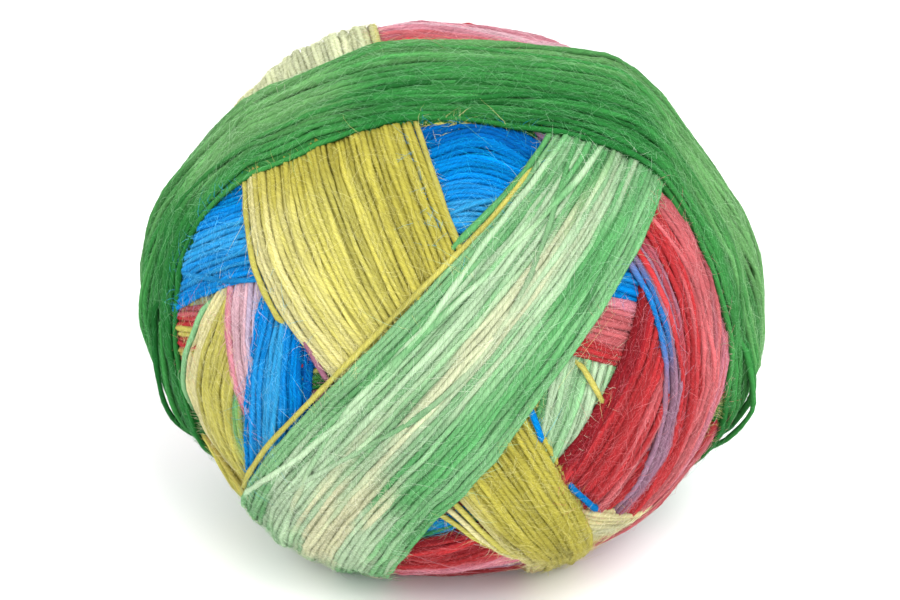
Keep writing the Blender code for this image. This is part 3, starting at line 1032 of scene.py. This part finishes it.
    def lone_turns(self, rng: np.random.Generator, around: np.ndarray, half: np.ndarray) -> Rows:
        """The turns that part from the band, tucked in outside their stretch.

        Args:
            rng: The source of chance.
            around: Angles of a loop's places.
            half: Half the band's width there, in metres.

        Returns:
            The turns, in the order of the band's table.
        """
        lone = self.band.lone
        home = np.stack([turn.path(around) for turn in lone])
        across = home + ripples(rng, len(home), around, range(1, 8), LONE_WAVES) / half
        share = np.stack([turn.share(around) for turn in lone])
        lift = np.array([turn.lift for turn in lone])[:, None] * share
        lift = lift + np.where(np.abs(home) < 1, LONE_LIFT, 0.0)
        tuck = np.clip(1 - share * LONE_TUCK, 0.0, 1.0) * TUCK_DEPTH
        pile = np.where(np.abs(across) < 1, self.band.pile_at(across), TURN_HALF_HEIGHT * 2)
        radius = self.winding.tight_radius(self.band, around, across) + pile
        dye = np.stack([turn.dye.linear() for turn in lone])
        dye = np.repeat(dye[:, None], len(around), axis=1)
        return Rows(across, radius - TURN_HALF_HEIGHT + lift - tuck, dye)

    def add_bed(self, parts: MeshParts) -> None:
        """Add the bed, in painted shade: the band's outer side a turn's depth down, closed by its
        deep inside.
        """
        band, grid = self.band, self.grid
        rows = self.winding.around()[::2]
        places = np.linspace(-1.0, 1.0, GRID_COLUMNS)[::2] * BED_REACH
        radius = grid[::2, ::2] - BED_DEPTH
        around, across = np.meshgrid(
            rows, np.append(places, [BED_REACH, -BED_REACH]), indexing="ij")
        directions = band.directions(around, across)
        deep = core_radius(directions[:, -2:]) * BED_INSIDE
        radius = np.concatenate([radius, deep], axis=1)
        points = BALL_CENTRE + directions * radius[..., None]
        points[..., 2] = np.maximum(points[..., 2], LOWEST_PLACE)
        # Painted shade: the bed's dye is darkened a little.
        dye = band.dye_at(across, around) * BED_PAINTED_SHADE
        first = parts.add_points(points, dye)
        steps, columns = radius.shape
        step, column = np.meshgrid(np.arange(steps), np.arange(columns), indexing="ij")
        ahead, beside = (step + 1) % steps, (column + 1) % columns
        corners = first + np.stack(
            [step * columns + column, ahead * columns + column,
             ahead * columns + beside, step * columns + beside], -1)
        chart = np.stack([np.stack([step * 0.5, column * 0.1], -1)] * 4, -2)
        parts.add_faces(corners, chart)

    def build(self) -> bpy.types.Object:
        """Make the band's piece once the whole ball is wound."""
        self.laid.shown = self.winding.shows(self.laid, self.wound_before)
        parts = MeshParts()
        sweep_turns(parts, self.laid)
        if self.grid is not None:
            self.add_bed(parts)
        return parts.make("band_" + self.band.name, self.wool)


@dataclass
class Fuzz:
    """Fine loose fibres that stand off the turns all over the ball."""

    winding: Winding
    turns: list[Laid]
    finish: bpy.types.Material
    seed: int
    name: str
    count: int
    mean_length: float
    rings: int
    half_thickness: float
    stand: float
    painted_light_share: float
    root_depth: float = 0.0011
    root_height: float = 0.0012
    clearance: float = 0.0001
    root_spread: float = 0.8
    turn_aside: float = 0.8
    length_spread: float = 0.4
    bend_aside: float = 0.5
    bend_along: float = 0.3
    droop: float = 0.8
    least_droop: float = 0.05
    tip_share: float = 0.55
    palest_painted_light: float = 0.92

    def roots(self, rng: np.random.Generator) -> tuple[np.ndarray, ...]:
        """Pick places on turns that show.

        A place counts if it lies no deeper than root_depth below the ball's outer side and
        stands off the table, and the pick moves on along its turn by a part of a step.

        Args:
            rng: The source of chance.

        Returns:
            Points, directions along, sideways and outward, and dyes.
        """
        frames = [laid.frames() for laid in self.turns]
        points = np.concatenate([laid.points.reshape(-1, 3) for laid in self.turns])
        onward = np.concatenate(
            [(np.roll(laid.points, -1, axis=1) - laid.points).reshape(-1, 3)
             for laid in self.turns])
        dye = np.concatenate([laid.dye.reshape(-1, 3) for laid in self.turns])
        along, sideways, outward = (
            np.concatenate([made[part].reshape(-1, 3) for made in frames])
            for part in range(3)
        )
        reach = np.linalg.norm(points - BALL_CENTRE, axis=-1)
        directions = (points - BALL_CENTRE) / reach[:, None]
        shown = reach > self.winding.surface(directions) - self.root_depth
        shown &= np.concatenate([laid.shown.ravel() for laid in self.turns])
        shown &= points[:, 2] > self.root_height
        picked = rng.choice(np.flatnonzero(shown), self.count)
        start = points[picked] + onward[picked] * rng.uniform(0, 1, (self.count, 1))
        return (start, *(part[picked] for part in (along, sideways, outward, dye)))

    def build(self) -> bpy.types.Object:
        """Grow the fibres and make their piece.

        A fibre is a bent line: its root plus its length times the way it sets off, plus
        a bend that grows with the square, and it is kept just above the ball's surface.

        Returns:
            The new piece.
        """
        rng = np.random.default_rng(self.seed)
        points, along, sideways, outward, dye = self.roots(rng)
        count = self.count
        roll = rng.uniform(-1, 1, (count, 1))
        root = points + sideways * roll * TURN_HALF_WIDTH * self.root_spread
        root = root + outward * TURN_HALF_HEIGHT * (0.95 - 0.5 * roll**2)
        heading = along * rng.choice([-1.0, 1.0], (count, 1))
        heading = heading + sideways * rng.normal(0, self.turn_aside, (count, 1))
        stand = np.abs(rng.normal(0, self.stand, (count, 1)))
        heading = heading + outward * stand
        heading = heading / np.linalg.norm(heading, axis=-1, keepdims=True)
        length = self.mean_length * np.exp(rng.normal(0, self.length_spread, (count, 1)))
        bend = sideways * rng.normal(0, self.bend_aside, (count, 1))
        bend = bend + along * rng.normal(0, self.bend_along, (count, 1))
        bend = bend - outward * (self.droop * stand + self.least_droop)
        part = (np.arange(self.rings) / (self.rings - 1))[None, :, None]
        line = root[:, None] + length[:, None] * (
            heading[:, None] * part + bend[:, None] * part**2
        )
        reach = np.linalg.norm(line - BALL_CENTRE, axis=-1, keepdims=True)
        directions = (line - BALL_CENTRE) / reach
        least = self.winding.surface(directions)[..., None] + self.clearance
        line = BALL_CENTRE + directions * np.where(part > 0, np.maximum(reach, least), reach)
        line[..., 2] = np.maximum(line[..., 2], LOWEST_PLACE)
        return self.sweep(line, dye)

    def sweep(self, line: np.ndarray, dye: np.ndarray) -> bpy.types.Object:
        """Carry a tapering three-sided section along the fibres, closed at both ends.

        Args:
            line: Points of the fibres, a row for each.
            dye: Their dyes.

        Returns:
            The new piece.
        """
        count, rings = line.shape[:2]
        ahead = np.concatenate([line[:, 1:], line[:, -1:] * 2 - line[:, -2:-1]], axis=1)
        behind = np.concatenate([line[:, :1] * 2 - line[:, 1:2], line[:, :-1]], axis=1)
        along = ahead - behind
        along = along / np.maximum(np.linalg.norm(along, axis=-1, keepdims=True), 1e-9)
        outward = line - BALL_CENTRE
        side = np.cross(outward, along)
        side = side / np.maximum(np.linalg.norm(side, axis=-1, keepdims=True), 1e-9)
        up = np.cross(along, side)
        angles = np.arange(3) * FULL_TURN / 3
        taper = np.linspace(1.0, self.tip_share, rings - 1)[None, :, None, None]
        taper = self.half_thickness * taper
        ring = line[:, :-1, None, :] + taper * (
            np.cos(angles)[:, None] * side[:, :-1, None, :]
            + np.sin(angles)[:, None] * up[:, :-1, None, :]
        )
        body = rings - 1
        points = np.concatenate([ring.reshape(count, body * 3, 3), line[:, -1:, :]], axis=1)
        # Painted light: the fibres' colour is the strand's dye painted paler, towards its square
        # root, for light scattered through thin fibres.
        full = dye / DYE_STRENGTH
        pale = full * (1 - self.painted_light_share) + np.sqrt(full) * self.painted_light_share
        pale = np.clip(pale, 0.0, self.palest_painted_light)
        parts = MeshParts()
        parts.add_points(points, np.broadcast_to(pale[:, None, :], points.shape))
        stride = body * 3 + 1
        base = (np.arange(count) * stride)[:, None, None]
        step, side_number = np.meshgrid(np.arange(body - 1), np.arange(3), indexing="ij")
        after = (side_number + 1) % 3
        quads = np.stack([step * 3 + side_number, (step + 1) * 3 + side_number,
                          (step + 1) * 3 + after, step * 3 + after], -1)
        quads = quads.reshape(1, -1, 4)[:, :, ::-1] + base
        low = (body - 1) * 3
        tips = np.array([[low, low + 1, stride - 1], [low + 1, low + 2, stride - 1],
                         [low + 2, low, stride - 1], [0, 2, 1]])
        tips = tips[None] + base
        if body > 1:
            parts.add_faces(quads, np.zeros(quads.shape + (2,)))
        parts.add_faces(tips, np.zeros(tips.shape + (2,)))
        return parts.make(self.name, self.finish)


# Name, number of fibres, mean length, rings, half thickness, stand and painted light share, how
# much paler than their dye the fibres are painted.
FUZZ_SORTS = (
    ("frizz_1", 46000, 0.0014, 2, 0.000032, 0.35, 0.35),
    ("frizz_2", 46000, 0.0017, 2, 0.000028, 0.50, 0.60),
    ("hairs", 10000, 0.0026, 4, 0.000027, 0.45, 0.65),
    ("halo", 8500, 0.0034, 4, 0.000030, 1.30, 0.90),
)


@dataclass
class Studio:
    """A plain pale floor, soft light from all round and a camera at the photo's angle."""

    elevation: float = 30.0
    distance: float = 0.70
    lens: float = 149.5
    floor_half: float = 3.0
    floor_white: float = 0.96
    sky_strength: float = 1.2

    def floor(self) -> None:
        """Lay a plain pale floor."""
        half = self.floor_half
        mesh = bpy.data.meshes.new("floor")
        mesh.from_pydata(
            [(-half, -half, 0), (half, -half, 0), (half, half, 0), (-half, half, 0)],
            [], [(0, 1, 2, 3)],
        )
        nodes = Nodes("floor")
        nodes.set(nodes.shader, {
            "Base Color": (*[self.floor_white] * 3, 1.0), "Roughness": 0.9,
            "Specular IOR Level": 0.0})
        mesh.materials.append(nodes.material)
        made = bpy.data.objects.new("floor", mesh)
        bpy.context.scene.collection.objects.link(made)

    def lamp(self, name: str, place: tuple[float, float, float], size: float, power: float) -> None:
        """Hang a square soft lamp that faces the ball.

        Args:
            name: The lamp's name.
            place: Where it hangs.
            size: Its side.
            power: Its power in watts.
        """
        light = bpy.data.lights.new(name, "AREA")
        light.size = size
        light.energy = power
        made = bpy.data.objects.new(name, light)
        bpy.context.scene.collection.objects.link(made)
        made.location = place
        aim = BALL_CENTRE - np.array(place)
        made.rotation_euler = self.facing(aim)

    def facing(self, aim: np.ndarray) -> tuple[float, float, float]:
        """Turn that points an object's own down axis along a direction."""
        flat = math.hypot(aim[0], aim[1])
        return (math.pi / 2 + math.atan2(aim[2], flat), 0.0, math.atan2(-aim[0], aim[1]))

    def light(self) -> None:
        """Light the scene softly from in front and above, with a pale world."""
        world = bpy.data.worlds.new("studio")
        world.use_nodes = True
        background = world.node_tree.nodes["Background"]
        background.inputs["Color"].default_value = (1.0, 1.0, 1.0, 1.0)
        background.inputs["Strength"].default_value = self.sky_strength
        bpy.context.scene.world = world
        self.lamp("key_lamp", (0.45, -0.8, 1.3), 0.9, 20.0)
        self.lamp("fill_lamp", (-0.8, -0.9, 0.9), 1.2, 6.0)
        bpy.context.scene.view_settings.view_transform = "Standard"

    def camera(self) -> None:
        """Set the camera where the photo was taken from."""
        tilt = math.radians(self.elevation)
        back = np.array([0.0, -math.cos(tilt), math.sin(tilt)])
        data = bpy.data.cameras.new("camera")
        data.lens = self.lens
        data.sensor_width = 36.0
        data.clip_start = 0.02
        data.clip_end = 20.0
        made = bpy.data.objects.new("camera", data)
        bpy.context.scene.collection.objects.link(made)
        made.location = BALL_CENTRE + back * self.distance
        made.rotation_euler = self.facing(-back)
        bpy.context.scene.camera = made

    def build(self) -> None:
        """Set up the floor, the lamps and the camera."""
        self.floor()
        self.light()
        self.camera()


def report(piece: bpy.types.Object) -> None:
    """Log a piece's name and its triangles."""
    counts = np.zeros(len(piece.data.polygons), np.int32)
    piece.data.polygons.foreach_get("loop_total", counts)
    LOG.info("%s: %d triangles", piece.name, int((counts - 2).sum()))


def main() -> None:
    """Wind the ball band by band, grow its fuzz and set up the studio."""
    logging.basicConfig(level=logging.INFO, format="%(message)s")
    wool, fuzz = WoolFinish().make(), FuzzFinish().make()
    winding = Winding()
    turns = []
    bundles = [BandOfTurns(band, order, winding, wool) for order, band in enumerate(BANDS)]
    for bundle in bundles:
        bundle.lay()
    for bundle in bundles:
        report(bundle.build())
        turns.append(bundle.laid)
    for number, sort in enumerate(FUZZ_SORTS):
        report(Fuzz(winding, turns, fuzz, FUZZ_SEED + number, *sort).build())
    Studio().build()


if __name__ == "__main__":
    main()
